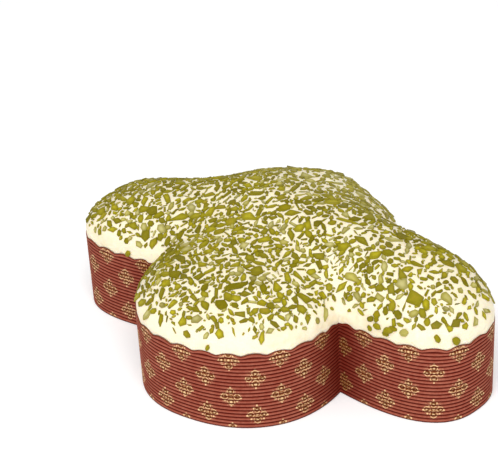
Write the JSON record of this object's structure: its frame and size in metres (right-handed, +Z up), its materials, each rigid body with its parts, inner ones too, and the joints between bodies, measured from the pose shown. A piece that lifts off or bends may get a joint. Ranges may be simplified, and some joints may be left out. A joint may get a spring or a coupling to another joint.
{
  "type": "colomba easter bread",
  "caption": "Dove-shaped sweet Easter bread in a ribbed burgundy paper baking case, domed over the rim under white icing strewn with green nut flakes.",
  "frame": {"origin": "centre of the overall bounding box in plan, on the surface that the case stands on", "axes": "+Z up, +X from the head of the dove to its tail, so the wings point to +Y and -Y"},
  "size_m": [0.2928, 0.2002, 0.0976],
  "materials": {
    "paper_case": "ribbed burgundy baking paper with a small gold ornament",
    "bread": "baked sweet bread, matte",
    "icing": "set white icing with olive green nut flakes, soft sheen"
  },
  "bodies": {
    "root": {"paper_case": "paper_case", "bread": "bread", "icing": "icing"}
  },
  "joints": []
}
